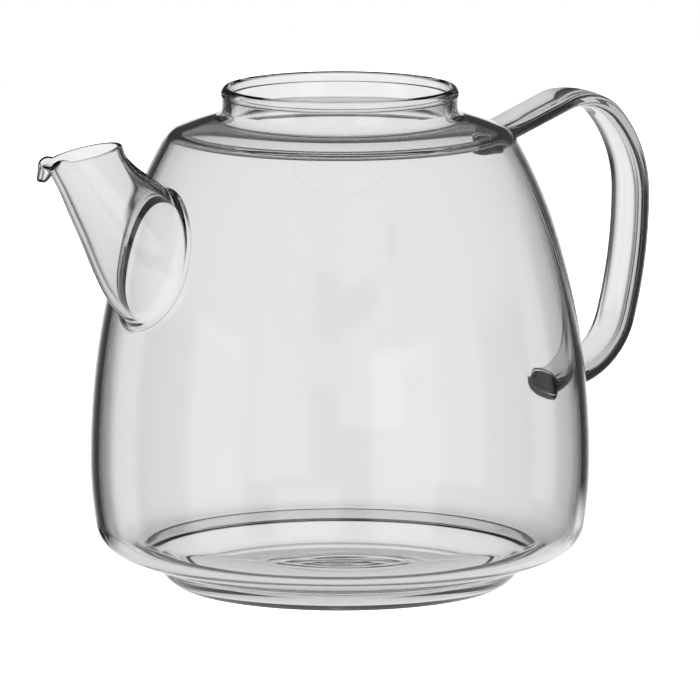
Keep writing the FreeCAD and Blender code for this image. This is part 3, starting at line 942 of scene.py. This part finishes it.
# ---------------------------------------------------------------- floor, light and camera

BRIGHT = 1.0
DARK = 0.05
TABLE = 0.85
PANELS = (
    # bearing, half width, bottom, top
    (330.0, 8.0, -40.0, 2.0),
    (315.0, 10.0, -40.0, -14.0),
    (135.0, 10.0, -50.0, -10.0),
    (180.0, 10.0, -30.0, 10.0),
    (90.0, 10.0, -30.0, 10.0),
    (30.0, 6.0, -25.0, 5.0),
)
PANEL_SOFT_WIDTH = 9.0
PANEL_SOFT_HEIGHT = 3.0
TABLE_EDGE = -18.0
TABLE_SOFT = 8.0


def world_math(tree, operation, *values):
    made = node(tree, "ShaderNodeMath", operation=operation)
    for socket, value in zip(made.inputs, values):
        if isinstance(value, (int, float)):
            socket.default_value = value
        else:
            tree.links.new(value, socket)
    return made.outputs[0]


def world_step(tree, value, low, high):
    """0 where value is below low, 1 above high, and smooth between them."""
    made = node(tree, "ShaderNodeMapRange", interpolation_type="SMOOTHSTEP")
    made.inputs["From Min"].default_value = low
    made.inputs["From Max"].default_value = high
    tree.links.new(value, made.inputs["Value"])
    return made.outputs["Result"]


def sine(angle):
    return math.sin(math.radians(angle))


def light_studio():
    """Tall bright panels stand in a dim room. The camera itself sees plain white."""
    world = bpy.data.worlds.new("studio")
    bpy.context.scene.world = world
    world.use_nodes = True
    tree = world.node_tree
    tree.nodes.clear()
    place = node(tree, "ShaderNodeTexCoord")
    parts = node(tree, "ShaderNodeSeparateXYZ")
    tree.links.new(place.outputs["Generated"], parts.inputs[0])
    level = node(tree, "ShaderNodeVectorMath", operation="MULTIPLY")
    level.inputs[1].default_value = (1, 1, 0)
    tree.links.new(place.outputs["Generated"], level.inputs[0])
    flat = node(tree, "ShaderNodeVectorMath", operation="NORMALIZE")
    tree.links.new(level.outputs[0], flat.inputs[0])
    height = parts.outputs["Z"]
    lit = 0.0
    for bearing, half_width, bottom, top in PANELS:
        dot = node(tree, "ShaderNodeVectorMath", operation="DOT_PRODUCT")
        dot.inputs[1].default_value = (*direction(bearing), 0)
        tree.links.new(flat.outputs[0], dot.inputs[0])
        edge = math.cos(math.radians(half_width + PANEL_SOFT_WIDTH))
        core = math.cos(math.radians(half_width))
        wide = world_step(tree, dot.outputs["Value"], edge, core)
        above = world_step(tree, height, sine(bottom - PANEL_SOFT_HEIGHT), sine(bottom))
        below = world_step(tree, height, sine(top + PANEL_SOFT_HEIGHT), sine(top))
        tall = world_math(tree, "MULTIPLY", above, below)
        lit = world_math(tree, "MAXIMUM", lit, world_math(tree, "MULTIPLY", wide, tall))
    light = world_math(tree, "MULTIPLY_ADD", lit, BRIGHT - DARK, DARK)
    table = world_step(tree, height, sine(TABLE_EDGE), sine(TABLE_EDGE - TABLE_SOFT))
    light = world_math(tree, "MAXIMUM", light, world_math(tree, "MULTIPLY", table, TABLE))
    seen = node(tree, "ShaderNodeLightPath")
    light = world_math(tree, "MAXIMUM", light, seen.outputs["Is Camera Ray"])
    background = node(tree, "ShaderNodeBackground")
    tree.links.new(light, background.inputs["Color"])
    output = node(tree, "ShaderNodeOutputWorld")
    tree.links.new(background.outputs[0], output.inputs["Surface"])


light_studio()

FLOOR_HALF_SIZE = 900.0
FLOOR_COLOUR = (0.9, 0.9, 0.9, 1.0)
FLOOR_ROUGHNESS = 0.8
LAMP_POWER = 6.0
LAMP_SPREAD = 40.0


def lay_floor():
    """A plain white table top, lit until it is as white as the background."""
    half = FLOOR_HALF_SIZE * MM
    mesh = bpy.data.meshes.new("floor")
    corners = [(-half, -half, 0), (half, -half, 0), (half, half, 0), (-half, half, 0)]
    mesh.from_pydata(corners, [], [(0, 1, 2, 3)])
    material = bpy.data.materials.new("table_top")
    material.use_nodes = True
    shader = material.node_tree.nodes["Principled BSDF"]
    shader.inputs["Base Color"].default_value = FLOOR_COLOUR
    shader.inputs["Roughness"].default_value = FLOOR_ROUGHNESS
    shader.inputs["Specular IOR Level"].default_value = 0.0
    mesh.materials.append(material)
    floor = bpy.data.objects.new("floor", mesh)
    bpy.context.scene.collection.objects.link(floor)
    floor.visible_transmission = False
    floor.visible_glossy = False


def hang_lamp():
    """A wide soft light straight above, which only the table top catches."""
    lamp = bpy.data.lights.new("overhead", "SUN")
    lamp.energy = LAMP_POWER
    lamp.angle = math.radians(LAMP_SPREAD)
    overhead = bpy.data.objects.new("overhead", lamp)
    overhead.visible_glossy = False
    overhead.visible_transmission = False
    bpy.context.scene.collection.objects.link(overhead)


lay_floor()
hang_lamp()

CAMERA_AZIMUTH = 240.0
CAMERA_ELEVATION = 9.4
CAMERA_DISTANCE = 2380.0
AIM_HEIGHT = 61.6
AIM_SIDE = 2.64
LENS = 464.0
SENSOR_WIDTH = 36.0
FARTHEST_SEEN = 100.0


def place_camera():
    turn = math.radians(CAMERA_AZIMUTH)
    rise = math.radians(CAMERA_ELEVATION)
    back = Vector((
        math.sin(turn) * math.cos(rise), -math.cos(turn) * math.cos(rise), math.sin(rise)
    ))
    right = Vector((math.cos(turn), math.sin(turn), 0))
    camera = bpy.data.objects.new("camera", bpy.data.cameras.new("camera"))
    camera.data.lens = LENS
    camera.data.sensor_width = SENSOR_WIDTH
    camera.data.clip_end = FARTHEST_SEEN
    aim = (Vector((0, 0, AIM_HEIGHT)) + right * AIM_SIDE) * MM
    camera.location = aim + back * CAMERA_DISTANCE * MM
    camera.rotation_mode = "QUATERNION"
    camera.rotation_quaternion = (-back).to_track_quat("-Z", "Y")
    bpy.context.scene.collection.objects.link(camera)
    bpy.context.scene.camera = camera


place_camera()

scene = bpy.context.scene
scene.view_settings.view_transform = "Standard"
scene.cycles.max_bounces = 32
scene.cycles.transmission_bounces = 32
scene.cycles.glossy_bounces = 16
scene.cycles.transparent_max_bounces = 48
